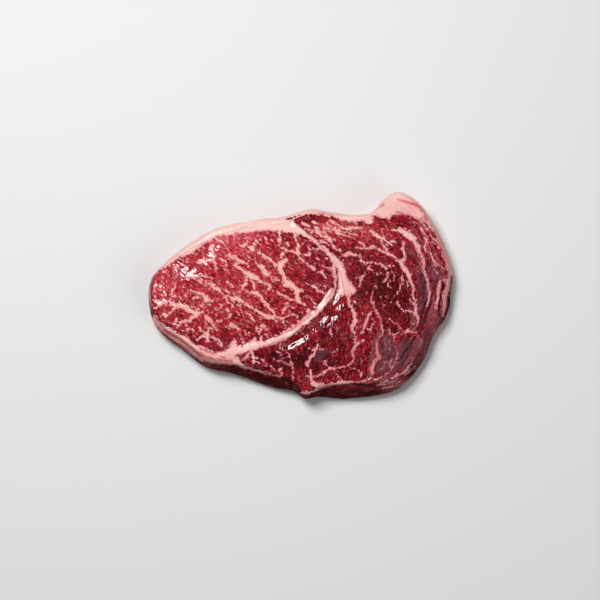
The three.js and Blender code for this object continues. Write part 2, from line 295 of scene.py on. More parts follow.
# Marbling, read off the cut face: strokes of (x, y, width).
# A point without a width takes that of the next point that has one.
veins = {
    "eye, tip": [
        [(-84.6, 4.6), (-85.1, 1.4), (-84.3, -.3), (-83.9, -1.7, .8)],
        [(-85.4, -2.9), (-83.4, -4.3), (-82.3, -5.7, 1)],
        [(-83.9, -7.4), (-82, -5.4), (-80.3, -4.5, 1.3), (-78.6, -4.3, 1.6), (-76.3, -3.5, 2.2),
         (-74.6, -4.6, 2.6), (-72.3, -5.7, 2.8), (-69.4, -6.3, 2.4), (-67.1, -7.1, 2.8), (-64.3, -8.6, 2.6),
         (-62, -9.7, 2.4), (-59.7, -11.1, 2.6)],
        [(-62, -9.7), (-59, -10, 2.2), (-56.9, -9.7, 1.5)], [(-60.5, -9.2), (-58.9, -7.7, 1)],
        [(-72.3, -7.1), (-74, -8.9), (-75.7, -10.3), (-77.1, -11.4), (-78.4, -12.6, 1.3)],
        [(-75, .3), (-74.4, 2.9), (-73.1, 4.9), (-72.4, 6, 1.1)],
        [(-75.7, -2.3), (-74, -.9), (-72.9, -.4, .8)],
        [(-67.1, 11.3), (-64, 10.6), (-61.7, 9.7), (-59.7, 8.9), (-57.1, 8.6, 1)],
        [(-60.3, 11.1), (-58.3, 11.6), (-55.7, 10.9), (-53.6, 10.9, .9)], [(-54.7, 8.6, 1)],
        [(-53.7, 7.1), (-51.4, 6), (-50, 4.6), (-48, 3.7), (-46.6, 2.3, 1.8)],
        [(-61.4, 2.3, 1), (-58.9, 1), (-56.3, .3, 1.6), (-54.9, -1.1, 2.4), (-54.3, -2.7, 3)],
        [(-54.3, -2.7, 1), (-50.5, -3, .6)], [(-62.7, -2.3), (-62, -1.4), (-59.1, -1, .7)],
        [(-66.5, 0, 1.2)], [(-69.3, -2.2, 1)], [(-63.5, 3.2, .9)], [(-81.3, 4.2), (-81.3, 2.4, .9)],
        [(-83.3, 5.2, .7)], [(-78.7, -.1, .7)], [(-67.9, 4.4), (-67.9, 2.6, .7)], [(-58, 7, .7)],
        [(-62.5, -6.5, 1.2)], [(-53, -5.3, 1)], [(-46.5, -5.4, .9)], [(-58.3, -6.3), (-53.7, -7, .6)],
        [(-59.7, -11.1), (-62.6, -12.8, 2.2), (-63.7, -15.1), (-65.7, -14.9), (-68, -14.9, 1.4),
         (-69.4, -16), (-71.1, -18.3, 1)],
        [(-71.7, -14.6, 2.2), (-73.7, -16.9, .9)],
        [(-66.3, -16.9), (-66, -18.9), (-64.6, -19.4), (-62.9, -19.7), (-61.1, -20.7, .9)],
        [(-68.5, -20.5), (-66, -20.3, .8)], [(-58.9, -18.9), (-56.9, -20.9, 1), (-54.3, -23.3, 3)],
        [(-53.1, -18.9, 1.3), (-54.3, -23.3, 3)], [(-54.3, -23.3, 3), (-53.7, -26, 1.8)],
        [(-54.3, -23.3, 2), (-57.5, -23.8), (-60, -25.5, 1)],
        [(-54.3, -23.3, 2), (-51.5, -23.8), (-48.5, -25), (-46, -27.3, 1.1)],
        [(-48, -28), (-45.5, -29, .6)], [(-49.7, -18), (-48.9, -20, 1)], [(-52, -18.7, 1.6)],
        [(-54.9, -12.6), (-53.1, -13.4, 2.3), (-51.4, -14.9, 1.8), (-49.7, -16, .9)],
        [(-55, -14), (-55.2, -16), (-54.3, -17.5, .8)], [(-48.3, -15), (-46.5, -15, 1)],
        [(-52, 28), (-50, 22, 1.6)], [(-58.5, 19), (-50, 20.5, 1.8)], [(-50, 20), (-49, 15, 1.2)],
        [(-46, 20.5, 1.6)], [(-43, 19, 1.4)], [(-48, 32), (-45, 30.5, 1)],
    ],
    "eye, middle": [
        [(-42.7, 8.1), (-41.1, 7), (-39.4, 5.1, .8)], [(-42.4, 2.6, 1.2), (-40.6, 1.4, .7)],
        [(-44.9, -.6), (-43.1, -1.1), (-41.7, -.3, .9), (-39.7, -1.7, 1.8), (-37.7, -2, 3),
         (-35.7, -2.9, 2.5), (-34, -3.9, 1.3), (-31.4, -5.1, 1.1), (-29.4, -6.6, 1.4), (-27.7, -7.6, 1.2),
         (-25.7, -8.6, 1.8), (-23.7, -10.3, 2.3), (-21.4, -11.4, 1.8), (-18.9, -12.6, 2.2),
         (-16.3, -12.9, 2), (-14.6, -14.6, 1.3), (-14.1, -15.7, .8)],
        [(-30.9, 1.7, .8), (-28, 1.7, 1.6), (-25.7, 1.1, 2.2), (-23.7, -.3), (-22, -2.9),
         (-20.3, -4.9, 1.8), (-19.1, -6.6, 1.6), (-17.1, -8.6, .9), (-15.4, -10.3, 1.4), (-15.1, -12, 1.5)],
        [(-23.4, -11.7), (-22.9, -14, .8)],
        [(-31.7, -9.7, .6), (-29.4, -11.7, .9), (-28.3, -13.4, 1.3), (-27.1, -14.6, 1.4)], [(-34, -9.9, 1)],
        [(-40.7, -11), (-40.9, -13.5, 1)], [(-43.5, -8), (-41.5, -9.5, 1)],
        [(-43, -3.5), (-41, -5), (-39, -6.5, .9)], [(-37, -5.5, 1)], [(-35.5, -5.6, .8)], [(-48, -8.5, .8)],
        [(-49, -11, .8)], [(-37.5, -9), (-35.5, -11.3, .5)],
        [(-40.6, -17.1, 1.3), (-38.6, -17.7, 2.4), (-36.9, -18.9, 1.8), (-34.9, -20.7, 1.2)],
        [(-42.5, -18.2, 1.3)],
        [(-23.4, -20.3), (-23, -18), (-22, -16.6), (-20.6, -17.7), (-20.3, -20.3, 1.2)],
        [(-25.7, -18.9), (-25.7, -20.6, 1)], [(-32, -20.5), (-32, -22, 1)],
        [(-30.5, -21), (-29.7, -22.7, .7)], [(-24.5, -22.5, .7)],
        [(-42.3, 24, 1), (-41, 22.5, 1.8), (-39, 22, 2.2), (-36.5, 21, 1.4), (-34.5, 19, 1.6), (-31, 18),
         (-30, 16.5, .9)],
        [(-38.5, 17.5, 1.3), (-36, 16), (-34, 14.5, 1.1), (-32.3, 13.1, 2), (-30, 11.7, 3),
         (-27.4, 10.3, 2.8), (-25.1, 9.3, 2.4), (-23.4, 7.9, 1.4), (-21.4, 6.7, 1), (-19.1, 6, 1.1),
         (-17.7, 4.9, 1.8), (-18.3, 3.4, 1.5)],
        [(-35, 19), (-38, 17.5, 1)],
        [(-31.7, 10.9), (-31.1, 8.3), (-32.3, 6), (-33.7, 5.1, 1.4), (-33.9, 3.4, .9)],
        [(-28.9, 9.1), (-28, 7.1), (-27.4, 5.1), (-26.3, 3.4, .7)],
        [(-26.6, 18.1, .8), (-24.9, 17.4, 1.6), (-22.6, 16.3, 2.8), (-21.7, 14.3, 2.2), (-20.6, 12.3, 2.4),
         (-18.6, 11.4, 1.4), (-15.7, 9.7, 1), (-12.9, 8.3), (-10.9, 7.7, .8)],
        [(-30, 27.5, 1.2), (-28, 26.7, 3)], [(-27, 29.5), (-25.5, 30.3, .8)], [(-32, 29), (-34, 28, 1.2)],
        [(-24.3, 24.6, 1.9), (-22.3, 23.1, 1.3), (-20.9, 22, 1.8), (-18.6, 20.6, 1.4), (-16.3, 18.9, 1.2),
         (-14.6, 17.4, 2)],
        [(-36.5, 35, .9)], [(-32, 33, .8)], [(-24, 32, 1)], [(-17, 32, .9)], [(-20.5, 33, .9)],
        [(-26, 31, .9)],
    ],
    "eye, right": [
        [(-12.6, 35.4, 1), (-12, 33.4, 1.2), (-12.3, 31.7, 2.4), (-11.9, 30.3, .8)],
        [(-13.1, 28.9, 1), (-11.7, 27.7, .7), (-10, 26.6, .9), (-8, 25.6, 1.5), (-4.3, 24.9, 1.2),
         (-2.6, 24.3, 1.8)],
        [(-10, 24.3, 1.6), (-10.9, 22.9, 1.7), (-11.1, 21.7, 1.2)],
        [(-8.9, 20.3, 2.2), (-10.6, 18.6, 3), (-12.3, 17.1, 4), (-12, 15.1, 3.2), (-11.4, 13.1, 2.8),
         (-10.6, 12.3, 2.4), (-9.7, 10.3, 1.8), (-9.1, 8.3, 3), (-8.3, 7, 4.2), (-5.7, 5.7, 3.2),
         (-3.7, 4, 3), (-1.7, 2.6, 3.2), (-2.3, .6, 2.2), (-2.6, -1.4, 2.6), (-1.4, -3.4, 2.4),
         (.9, -4.9, 1.3), (3.1, -6.4, .6)],
        [(-1.7, 2.6), (.6, 3, 1.6)],
        [(-13.4, 1.1, 1.8), (-10.6, 0, 1.1), (-7.7, -1.4, .9), (-4.9, -2.9, 1.3)], [(-8, -4.8, 1.8)],
        [(-8.9, -7.1, 1.4), (-10, -8.6), (-11.1, -9.4, 1), (-10.6, -10.6, .8)],
        [(-5.5, -6.9), (-4.2, -7.1, .9)], [(-.5, -9.5, .9)],
        [(-12.9, -12.9, 1.8), (-10.9, -13.7, 1.6), (-10, -12.9), (-8.3, -11.7, 1.2), (-6.3, -11.4, 1),
         (-4, -10.9, .9), (-2.9, -11.7, .7), (-1.7, -13.4, .8)],
        [(-10.3, -14.6, 1.3), (-9.4, -16.6, 1), (-8.9, -18.6, .9)],
        [(-4, 34.9, 1), (-3.4, 32.9), (-2.6, 30.6, .8), (-1.4, 29), (-2.4, 27.1, 1.3), (-2.4, 25.1, 1.5),
         (-1.7, 22.9, 1.6)],
        [(.9, 23.4, 1), (2.9, 23), (4.9, 23.4, 1.4), (4.7, 25.1), (4, 27.4, .8)],
        [(-.6, 21.4), (.9, 19.7, .9), (2.6, 18.3, .8), (4.9, 17.1, 1), (6.9, 15.7, 1.7), (8, 14.3, 1.2)],
        [(9.3, 21.3, 1.6)], [(6.8, 27.3), (8.4, 26.3), (9.5, 27.2, 1)], [(14.3, 21.3, .9)],
        [(1.2, 30.2, .8)], [(-8.3, 30), (-7.5, 28.5, .9)],
        [(12.6, 16.9, 1), (14.9, 15.4, 1.2), (17.5, 15.3, 1.5)],
        [(9.4, 13.1, .8), (12, 13.1, 1.7), (12.9, 11.7, 1.4), (14.3, 10, 1)],
        [(2.6, 7.1, .6), (5.4, 5.7, .9), (7.7, 5.1, 1.8), (8.9, 3.4, 1.7), (11.4, 2.3, 1),
         (13.7, 1.1, 1.3)],
        [(13.3, 5.3), (15, 4, .8)], [(2.6, -.3, .6), (4.9, -1.1, .8), (6.9, -3.4, .7), (8.3, -5.1, .8)],
        [(8, -7.1, 1.5)],
    ],
    "band round the eye": [
        [(-6, 39.5, 7), (0, 36.5, 3), (4, 34, 1.8), (7, 31.8, 2), (10, 29.4, 2.2), (13, 26.7, 2.4),
         (16, 23.9, 2.8), (18.5, 21.3, 3.5), (20.5, 18, 5.5)],
        [(18.7, 16), (19, 13), (20, 8.5, 2.5), (19.5, 4.5, 1.5), (17.5, 1, 4), (15.5, -1.5, 3.8),
         (13.5, -4), (9.5, -9, 3), (5, -12.5), (0, -16.5, 4.5), (-5, -21), (-10, -23.5, 5), (-15, -26, 4.2),
         (-20, -28, 3), (-24, -28.8, 3.3), (-29, -29, 5), (-33, -31, 3.5), (-38, -32), (-43, -34.5, 5),
         (-50, -36, 6)],
        [(4, -8.5), (4.5, -11, 2.2)], [(-22.8, -24), (-23.5, -27.5, 1.3)],
        [(-35.5, -22.8), (-34.3, -24.5), (-33.8, -26.5), (-33, -28, .9)], [(-36, -29.5), (-34, -28.7, .6)],
        [(-20.5, -22.5), (-19, -23.8, .9)], [(-29, -31.5), (-28, -34), (-27.3, -36), (-27.3, -38.5, 2.2)],
        [(-30, -33), (-31, -35), (-32.5, -36.5, 1.6)],
        [(-26.5, -35), (-24, -36.5), (-22, -37.3), (-20.5, -38), (-20.3, -40, .9)],
        [(-25, -38.5), (-23, -40.5, .7)],
    ],
    "top, right of the eye": [
        [(0, 41.5), (2, 41), (5, 39.5, 1.4)], [(7, 42.3, 1.8)], [(8.5, 39, 2)], [(2, 38), (7, 36.5, .9)],
        [(8, 38), (10, 36), (13, 34.5), (17, 32, 1.2)],
        [(17, 43), (20, 41), (23, 39), (27, 38), (30, 38.8), (34, 38.3, 1.2)],
        [(10, 37.5), (13, 35.3), (17, 33.2), (21, 31.8), (25, 31, .5)],
        [(10.5, 34.5), (14, 32.5), (18, 30.8, .5)], [(13, 40), (17, 37.3), (22, 35), (27, 34, .6)],
        [(20, 38.5), (24, 37), (28, 35.5), (32, 35, .6)], [(12, 42.5), (16, 40), (20, 37.6, .5)],
        [(8, 31.5), (11, 30.8), (14, 30), (17, 29), (19, 27.5), (22, 26, 1.1)],
        [(24.8, 22.5), (27, 23.8), (29, 24, 2), (31.5, 23, 1.4)], [(34, 23), (34.5, 21, .9)],
    ],
    "cap": [
        [(52, 37.5, 1), (54, 37.3, 1.3), (56.9, 37.8, 3), (58.8, 36.7, 3.4), (61.9, 34.3, 4),
         (64.7, 32, 3.2), (66.2, 29.7, 2.6), (67.8, 26.6, 2.1), (69.3, 23.4, 1.8), (70.1, 19.1, 1.6),
         (70.4, 15.3), (71.8, 11, 1.7), (73.2, 7, 1.5), (73.8, 3, 1.4), (74, 0, 1.3), (73.5, -3, 1.2),
         (72.5, -6, .8)],
        [(40.1, 36.7, 1.2), (42.5, 35.1, 2), (45.6, 33.2), (48.3, 31.6, 1.6), (50.3, 29.7, 1.2),
         (51.4, 28.1, .9)],
        [(45.6, 30.8), (47.1, 28.5), (49.5, 26.2, .9)], [(52.2, 31.2, 2)],
        [(58.8, 30.5, 1), (58.8, 28.9), (58, 26.9), (59.2, 24.6, 1.2), (60.4, 21.9, 1.4), (58, 19.9, 2.4),
         (57.7, 17.6, 2.2), (59.6, 15.3, 2.4), (61.2, 13, 3), (62.7, 9.3, 2), (63.9, 5.8, 1.8),
         (64.7, 3.1, 1.3), (64.3, -.4, 1.2), (65.5, -3.1, 1.6), (65.8, -5.1, 2.2), (65.8, -8.6, 1.4),
         (65.8, -10.5, 2), (67.4, -13.3, 1.8), (66.8, -17.2, 1.2)],
        [(31.6, 27.3, .7), (35.8, 26.9, .8), (39, 26.9, 1.6), (41.3, 27.7, 1.4), (44.4, 26.2, 1.1),
         (47.9, 24.6, 1.2), (51, 23.4, 1.4), (54.2, 21.5, 1.6), (56.5, 19.5, 1.9)],
        [(34.7, 19.5, 1.8), (37, 18.4, 1.2), (40.9, 19.2, .9), (43.6, 18), (45.6, 18.4, 1),
         (47.5, 16.4, 1.2), (49.1, 15.3, 1.4), (49.5, 12.9), (49.3, 10.3, 1.2), (48.5, 8.8),
         (47.3, 7.8, 1.3)],
        [(50.5, 8.5), (50, 6.5, 1), (50.7, 5, 1.4)], [(50, 16.5), (52, 17.5), (53, 17.2, .9)],
        [(38.6, 15.6, 2)], [(33.9, 30.4, 1), (35.8, 29.3, 1.3), (37, 28.5, 1)],
        [(37, 13), (36, 11.5, 1), (34.8, 10, 1.7), (34, 8, 1), (33.7, 5, .9)],
        [(31.5, 10.3), (34.5, 9.8, 1)], [(42, 12.5), (44, 12), (47, 12.5, .8)], [(42.2, 5, 1.6)],
        [(45, -1, .9)], [(49, -.5, .9)], [(47.5, -6), (48.3, -5, 1)], [(51.7, -4, 1)], [(37, 1.8, .8)],
        [(41, 1.5), (40.1, -2.8, .8), (41.3, -4.1, 1.8)], [(52, 14), (53.3, 12), (53.5, 10), (53, 8, .8)],
        [(57.7, 12.5, 1.1), (58, 8, 1), (57.5, 6), (56.5, 4), (55, .5), (53.8, -.7, .8)],
        [(60.5, 7.5), (62, 5, .9)], [(62, -2.5), (64, -4.5, .8)],
        [(55, -4), (56, -6, 1.1), (57.5, -8, 1), (59, -9, 1.6), (60.5, -9.3, .8), (63, -9.7),
         (65.5, -9.8, 1.1)],
        [(51, -13.5), (53, -15.5, 1), (56, -17.5), (58.5, -20.5, .8)],
        [(50.5, -20), (51.5, -22), (53, -23, 1.3), (54.5, -22.3), (56.5, -21, .9)],
        [(57.5, -22), (59.5, -21.7, 1.2), (61, -20.8, 1.6), (61.5, -20, 1.2)],
        [(61, -21), (63.5, -20.8), (65.8, -21.7, 1.1)], [(63, -16), (65, -16.5, .7)],
    ],
    "blunt end": [
        [(74, 26), (75, 23), (77, 19), (78, 17, 1.2)],
        [(79, 30), (80, 27), (82, 23), (83.5, 19), (84.5, 15, 1.8)], [(72.5, 32), (71, 28), (72, 25, .8)],
        [(68, 40), (70, 37), (72, 34, .8)], [(76, 33), (79, 30, 1.2)],
        [(80.1, 8.2, 1.2), (79.1, 3.5), (79.5, -.4), (78.7, -3.1, 1.8), (77.5, -8, 1.2)],
        [(86, 13), (85, 8), (84.5, 4), (83.5, 1, 3), (83, -2), (83, -5), (82.6, -9), (82.3, -12, 2)],
        [(66, 50), (70, 45), (73, 41), (76, 38), (79, 34.5), (81, 31, 2.2)],
        [(64.5, 42), (68.5, 38), (71, 34), (73, 30), (74.5, 26.5, .6)],
        [(68, 43), (72, 38.5), (75, 34), (77, 29.5, .6)],
        [(74.7, 21.5), (77, 19.2), (80.5, 16.3), (84, 13.9, .7)], [(73.5, 15.5), (77, 18.2, .5)],
        [(76.5, 15), (80, 12), (82.5, 8.5, .5)],
    ],
    "lower muscles": [
        [(27.5, 0, 1.6), (27.4, -4.3, 1.8), (28.9, -6.9, 1.6), (30.3, -10.9, 2.2), (30.9, -14),
         (29.9, -17.4, 2.4), (29.1, -20, 1.5), (31, -22, .9), (31, -29, .7)],
        [(20, -8, 1.4)], [(20.3, -12), (20.5, -14, .6)], [(16.7, -20), (17.5, -22), (18, -23.5, .9)],
        [(40.5, -4, 1), (42, -7, 1.2), (43.5, -9.5, 1.8), (44.5, -11.5, 1.3), (45.5, -14), (46, -16.5, 1),
         (46.5, -19, 1.1), (47, -21, 1.2), (46.5, -23), (44.8, -24.5, 1)],
        [(39.5, -10.5, 2), (38.5, -12), (38, -14), (37, -17), (36, -19.5, 1.1), (34, -22.3, 1.2)],
        [(42.5, -15), (41.3, -16.5), (40.5, -18), (39.5, -19.7), (38, -19.5, 1)],
        [(43.6, -26, .9), (43.6, -33.5, 1.8), (45.2, -35.4, 2), (42.1, -38.2, 1.8), (40.9, -41.3, 2.4),
         (40.5, -45.2, 1.4)],
        [(35.5, -26), (34, -27), (32, -28.5, 1.2), (31, -29.5, 1.3), (30, -31, 1.4), (29.3, -33, 1),
         (30.3, -34.5, 1.1), (30.5, -36.5, 1.2), (29.5, -37.8), (28, -39.3, 1), (26, -41, .8),
         (23.5, -40.9, 1.2), (22, -41.5), (20, -42.2), (18, -42.4, .9), (16, -42.2, 1.4), (14, -43.5, 1.5),
         (12.5, -45, 1.2), (10.5, -45.7), (8.5, -46.5, 1), (5.8, -46.5, 1.2)],
        [(9.4, -29, 1.8), (7.9, -31.6), (6.7, -34.3, 2), (4.3, -37.3), (3.4, -39.4, 2.2), (4.3, -41.8, 1.6),
         (5.2, -44.2, 1.4), (5.8, -46.3), (5.8, -48.6, 1.6), (7, -50.7, 2.2)],
        [(4.5, -30.5), (7.5, -31.5, .8)], [(10.3, -30.7), (13.5, -31.2, .9)],
        [(17, -32.8), (19.5, -32.8), (21.3, -30, .7)],
        [(12.1, -37.9, 1.1), (13.6, -38.5, 1.6), (14.8, -40.6, .8)], [(2.5, -46.5), (5.5, -47, .7)],
        [(28, -41.5), (30, -42.5), (32, -42.2), (34, -44), (35, -46, .7)],
        [(20.5, -45.5), (21.8, -46.8, .8)],
        [(6, -50.5, 2), (8, -51.3), (10, -52, 3.2), (13, -52, 2.8), (16, -51.7), (20, -51, 2), (23, -50),
         (26, -50, 2.6), (30, -50, 1.2), (34, -49.8, 1), (38, -49, 1.4), (40, -48, 1.6)],
        [(.5, -56, 1), (2.5, -56.2, 2.2), (5, -56, 1.2), (8, -54.8, .9), (10, -53.5, 1.2)],
        [(-12, -28.5, 1.2), (-12, -30), (-10, -31.2), (-8, -33.5), (-7, -34.9, 1), (-5.8, -38.5, 1.1),
         (-5.1, -40.6, 1.3), (-4.3, -42.7, .9), (-4.9, -44.8), (-4.8, -48.6, .8)],
        [(-11.5, -38), (-9, -39.3), (-6, -40.1, 1.2)], [(-16, -37), (-12, -38, .7)],
        [(-14, -32.3), (-12.5, -33.3), (-11.5, -34.5, .8)], [(-12, -36.5), (-8, -35.7, .7)],
        [(-17.5, -40.5), (-16.5, -42), (-15, -43), (-13, -43), (-11, -42, .9)],
        [(-12.5, -43.5), (-11, -45), (-11.5, -46, 1)],
        [(53, -23.5), (54, -27), (54.5, -30, .5), (55.3, -33), (55, -36, .6), (53.8, -39, .8),
         (52.5, -41.5, 1), (50.5, -44), (48, -46), (45, -47.5), (42, -48.5, .8)],
        [(52, -37), (51.5, -39), (51, -41, .8)], [(47.5, -39), (49.5, -38.3), (51.5, -39, .4)],
        [(47.5, -39), (47, -41), (46, -42.5, .3)], [(48, -27), (48.8, -30), (48.2, -33, .3)],
        [(50.5, -25), (51.3, -28), (51, -31, .3)], [(44, -51.8), (48, -51.3), (52, -50.3), (56, -48.3, .9)],
        [(47, -54), (52, -52.8), (57, -49.8, .7)], [(60, -46.5), (63, -44), (66, -40.8, .7)],
        [(46, -50.5), (50, -49), (54, -47, 1), (56.5, -45.6, 1.3), (59.2, -44.8, 2), (61.2, -42.8, 1.7),
         (62.3, -40.5, 1.2), (63.9, -38.5, .9)],
    ],
}

# Solid fat, by its outline.
fatAreas = {
    "cap along the back of the eye, out past the rim": [
        (-84, 12), (-80, 15.3), (-76, 17.5), (-70, 21.8), (-66, 22.8), (-62, 25), (-58, 27.5), (-55, 30),
        (-51, 32.3), (-48, 34), (-42, 34.5), (-36, 35.5), (-30, 36.2), (-22, 37), (-14, 36.8), (-8, 36.2),
        (-4, 36), (0, 35.3), (2, 34.3), (2, 35.7), (0, 37.7), (-2, 40), (-4, 41.5), (-6, 42.5), (-8.5, 44),
        (-6, 56), (-40, 56), (-95, 26),
    ],
    "rim right of the junction": [
        (-13, 44), (-8, 44.5), (-6, 45), (-2, 45.8), (2, 46.2), (7, 46.5), (12, 46.3), (17, 45.3),
        (20, 44.5), (23, 43), (26, 42.3), (30, 42), (36, 42.3), (38, 40.8), (41, 41), (41.7, 45.2),
        (44, 47.5), (54, 56), (-13, 56),
    ],
    "knob": [
        (41, 47), (44, 45), (47, 44), (51, 43.8), (52, 46), (58, 46), (61, 46.2), (63, 44), (66, 45),
        (68, 43), (74, 48), (64, 66), (41, 62),
    ],
    "skin of fat down the blunt end": [
        (71, 45.5), (77.3, 36.4), (81.3, 27.6), (84.2, 18.5), (85.6, 11), (95, 8), (90, 32), (68, 54),
    ],
    "star where the muscles meet": [
        (20.7, 17), (24, 20.8), (24.5, 17), (25.5, 14), (26, 12), (27, 9.5), (28.5, 8), (29.5, 6),
        (31, 4.2), (32, 2.5), (31, 1), (29.5, .3), (27, -1), (26, -.4), (22, -.2), (20.3, -.8), (20.8, 6),
        (21.3, 11),
    ],
    "rim below the eye": [
        (-84.5, -11), (-82.5, -14), (-80, -17.5), (-76, -19), (-72, -21.3), (-69, -22.5), (-66, -23.7),
        (-64.3, -25.5), (-62, -28), (-59, -29), (-56, -29.8), (-53, -31.3), (-49, -32.5), (-45, -33),
        (-40, -33), (-36, -36), (-32, -41), (-27, -42.2), (-20, -44.2), (-12, -46.6), (-12, -48),
        (-20, -45.5), (-27, -43.7), (-32, -42.5), (-36, -41), (-40, -40.3), (-46, -39.5), (-51, -39.3),
        (-54, -38.6), (-58, -37.8), (-61, -36.3), (-64, -34.6), (-67, -32.2), (-70.5, -29.4),
        (-74.5, -26.5), (-78.5, -24), (-82.5, -21), (-85, -18), (-86.8, -13),
    ],
    "foot of the band, below the eye": [
        (-46, -33.5), (-43, -30.5), (-41, -29), (-39.8, -26.5), (-38.6, -25), (-37.5, -26), (-37.2, -28.5),
        (-35.3, -29.6), (-33.5, -30.2), (-31.5, -28.8), (-29, -26), (-27, -23.8), (-26, -24.2),
        (-26, -26.5), (-24, -27.3), (-24, -31), (-28, -32), (-33, -33.5), (-40, -35),
    ],
}

# Creases where the face is pulled apart, drawn into the relief; their dark colour is painted shade, the first
# one being the shadow under the band.
creases = [
    [(1.5, -18), (-3, -22), (-6, -25, .9)], [(20.5, 14), (21.3, 11), (21, 7), (20.3, 2), (19, -1, .1)],
    [(-84, -10.5), (-82, -13.4), (-79.5, -16.8), (-75.8, -18.3), (-71.8, -20.6), (-68.8, -21.8),
     (-65.6, -23), (-63.9, -24.8), (-61.6, -27.3), (-58.5, -28.2, .4)],
    [(75.5, -3), (73.5, -8), (72.5, -12), (70.5, -16), (69, -20), (68.5, -23, 1.1)],
    [(72, -4), (71, -8), (69.5, -12), (68.5, -16), (67.5, -20, .7)],
    [(66, -24), (64, -26.5), (62, -30), (60, -33), (58, -36, .8)],
    [(82, 7), (81.5, 2), (80.3, -3), (79.8, -8), (80.2, -12, 1)], [(63.5, -41, 1.6)], [(68.3, -34.5, 1)],
]

# Blood stains on the fat.
stains = [
    [(55.5, 54.8, .7), (59, 54, 1), (63, 52.8, 1.3), (68, 51, 2.2)], [(44, 50.3, 1.4), (46.9, 52.2, 1.5)],
    [(69, 50.4), (72, 47.5), (75, 43.5), (77, 40, 3)], [(48.7, 43.8), (51.5, 42.3, 1.6)],
    [(55, 48), (58, 47, 1)],
    [(-79, -20), (-72, -24), (-66, -28), (-62, -31.5, 1.6), (-58, -34.5, 1.7), (-51, -36.5, .2)],
    [(-60, -32.5), (-55, -35.5), (-48, -36.8), (-40, -38, 1.4)], [(-58, -30.8), (-50, -33.6, .8)],
    [(-84.5, -17.5, .4), (-80.5, -21.5, 1.2), (-74.5, -26.3), (-68.5, -30, 1.4), (-60, -36.2, .2)],
    [(-46.5, -35), (-44.5, -35.6, .7)], [(-33, -33.5), (-30, -32.5, .3)],
    [(27.3, 13), (29, 9), (31.5, 5, .3)], [(12, -4.5), (7, -9.5), (2, -13.2), (-4, -18, .2)],
    [(10, -7), (4, -12.8), (-2, -17.8), (-8, -21.5, .3)],
    [(-6, -23.5), (-12, -26), (-18, -28.3), (-24, -30.3, .3)], [(14, -2.5), (16.2, .5), (17.8, 4.5, .2)],
]

# How light the flesh is: middle, reach, change. The lifts over the left end of the eye are partly painted
# highlight, for the gloss that brightens it there.
fleshTonesAndHighlight = [
    ((-60, 4), (36, 30), .26), ((-38, 32), (26, 9), .36), ((-20, 4), (30, 24), .16),
    ((8, 12), (12, 16), -.02), ((45, 4), (13, 13), -.3), ((48, 33), (14, 10), .16),
    ((15, -14), (6, 9), -.1), ((15, -36), (9, 7), -.12), ((2, -36), (12, 10), -.12),
    ((76, 20), (6, 22), -.03), ((75, 6), (2.5, 8), -.2), ((22, 36), (16, 8), .2), ((37, -10), (8, 14), .1),
    ((60, -36), (14, 12), -.02), ((17, 39), (7, 4), .4), ((-76, 6), (9, 12), .2),
    ((-12, -38), (16, 7), -.26), ((56, -10), (9, 10), -.14), ((76, -16), (4, 12), .2),
    ((35, 36), (9, 6), .12), ((68, -34), (5, 8), .2), ((72, 32), (5, 12), .12), ((22, -38), (12, 6), -.08),
    ((62, 24), (7, 9), -.08), ((38, -12), (8, 10), .06), ((58, -50), (10, 4), .05),
    ((-72, -3), (12, 10), -.06),
]

# How pale the fat is: middle, reach, change.
fatTones = [
    ((-30, 40), (70, 10), .5), ((-35, 5), (38, 24), .2), ((50, 32), (14, 9), .15), ((51, 57), (6, 3), .3),
    ((-10, -22), (30, 9), .08), ((16, 24), (6, 8), .1), ((26, 6), (6, 10), -.25),
    ((-56, -34), (22, 6), -.14), ((82, 0), (5, 20), -.15), ((62, 49), (9, 7), -.38),
    ((82, 28), (8, 16), -.35), ((56, 59), (9, 2.5), .6), ((25, -38), (24, 12), -.3),
    ((-12, -38), (14, 8), -.4), ((50, -14), (12, 10), -.35), ((42, 6), (12, 12), -.3),
    ((44, -36), (5, 12), -.3), ((55, -35), (6, 12), -.35),
]

# Places where juice stands on the face and breaks the light: middle, reach, amount.
wetPlaces = [
    ((-70, 14), (8, 8), 1), ((-54, 21), (7, 4), 1), ((-50, 27), (4, 3), 1), ((-39, 26), (4, 5), .6),
    ((4, -10), (10, 3), .8), ((-3, -23), (8, 4), .9), ((6, -15), (5, 5), 1), ((18, -15), (5, 8), 1),
    ((22, -8), (4, 6), .8), ((-25, -26), (10, 3), .5),
]

# Lumps that lean towards the light there: middle, reach.
leanPlaces = [
    ((-70, 15), (6, 6)), ((-54, 21), (5, 3.5)), ((-50, 27), (3.5, 3)), ((18, -16), (3, 5)),
    ((22, -8), (3, 4)),
]

# Places where the face has dried: middle, reach, amount.
dryPlaces = [
    ((80, -5), (9, 26), .9), ((60, -44), (18, 9), .9), ((56, 52), (14, 9), .6), ((-46, -34), (12, 5), .8),
    ((-14, -50), (16, 5), .8),
]

# Places where silverskin lies over the flesh as a mauve film: how thick at most, outline.
films = [
    (2, [(47, -22), (52, -23.5), (55, -30), (56, -35), (53, -41), (48, -45), (43, -47), (42.5, -40),
         (45, -32)]),
    (2, [(56, -27), (66, -24.5), (68, -24), (68.5, -29), (65, -36), (60, -42), (52, -46), (46, -50),
         (43, -49), (50, -44.5), (55, -37), (55.5, -32)]),
    (.8, [(66.5, 13), (70, 17), (71.5, 10), (73, 3), (72, -5), (70, -12), (67.5, -12), (67, -3)]),
    (.2, [(74.5, 20), (78, 19), (82, 14), (80, 9), (76, 9), (73.8, 14)]),
    (1, [(9.5, -30.5), (16, -31.5), (20, -32), (14, -34.5), (10, -38), (7, -38)]),
    (.4, [(76, -5), (83, -10), (80, -18), (77, -24), (71, -36), (62, -45), (62, -40), (68, -29),
         (71, -20)]),
]

